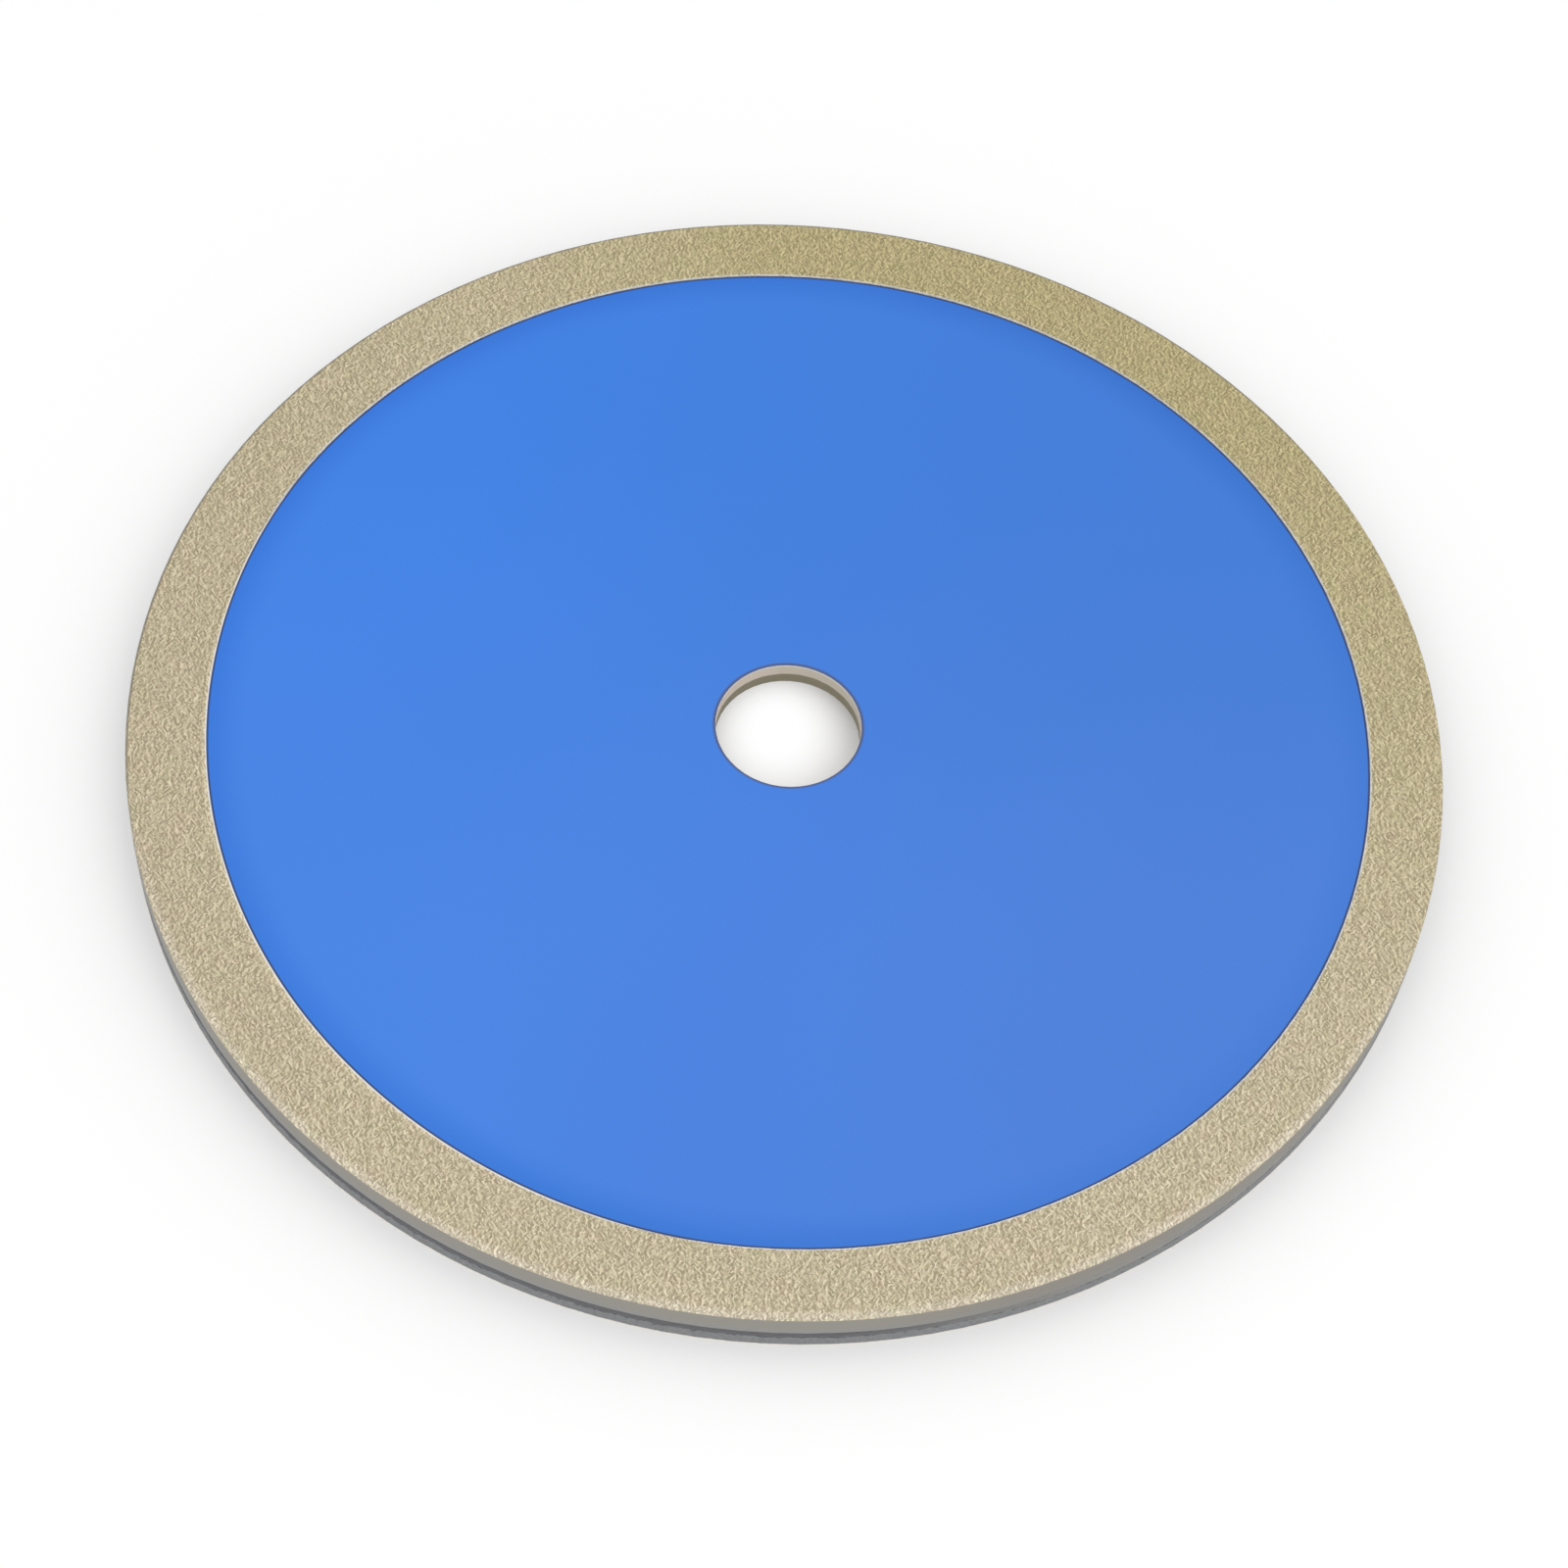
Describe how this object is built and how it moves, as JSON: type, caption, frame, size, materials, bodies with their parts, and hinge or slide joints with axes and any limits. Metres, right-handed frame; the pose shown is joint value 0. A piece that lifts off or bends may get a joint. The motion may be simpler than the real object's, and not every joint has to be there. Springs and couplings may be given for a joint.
{
  "type": "diamond saw blade",
  "caption": "Flat continuous-rim diamond saw blade: a blue-painted steel disc with a round arbor hole, ringed by a sand-coloured rim that stands just proud, with a groove round its edge.",
  "frame": {"origin": "on the axis of the arbor bore, on the mid-plane of the blade", "axes": "+Z along the bore axis, out of the front face, whose side has the smooth upper land; X and Y lie in the mid-plane"},
  "size_m": [0.18, 0.18, 0.0072],
  "materials": {
    "blue_paint": "smooth satin blue paint on steel, with the wall of the bore left bare",
    "sintered_rim": "sand-coloured, finely granular sintered metal bond with diamond grit; turned grey outer edge"
  },
  "bodies": {
    "root": {"steel_core": "blue_paint", "diamond_rim": "sintered_rim"}
  },
  "joints": []
}
